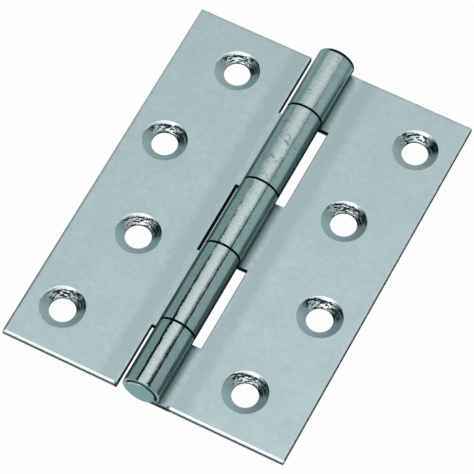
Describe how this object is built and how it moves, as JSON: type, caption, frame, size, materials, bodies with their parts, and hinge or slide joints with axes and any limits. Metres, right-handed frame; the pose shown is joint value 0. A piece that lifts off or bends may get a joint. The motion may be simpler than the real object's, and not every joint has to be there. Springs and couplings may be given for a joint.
{
  "type": "butt hinge",
  "caption": "Butt hinge of rolled steel sheet: two flat leaves with staggered countersunk screw holes turn on a fixed pin through interleaved knuckles.",
  "frame": {"origin": "under the middle of the pin, in the plane of the leaves' backs", "axes": "+Y along the pin, +X towards the three-knuckle leaf, +Z out of the countersunk faces"},
  "size_m": [0.073, 0.1016, 0.0095],
  "materials": {
    "plated_sheet": "bright zinc plating on rolled sheet",
    "plated_pin": "bright zinc plating on a formed head"
  },
  "bodies": {
    "fixed_leaf": {"three_knuckle_leaf": "plated_sheet", "hinge_pin": "plated_pin"},
    "swing_leaf": {"two_knuckle_leaf": "plated_sheet"}
  },
  "joints": [
    {"name": "leaf_swing", "type": "hinge", "parent": "fixed_leaf", "child": "swing_leaf", "pos_m": [0, 0, 0.00475], "axis": [0, 1, 0], "range_deg": [-90, 180]}
  ]
}
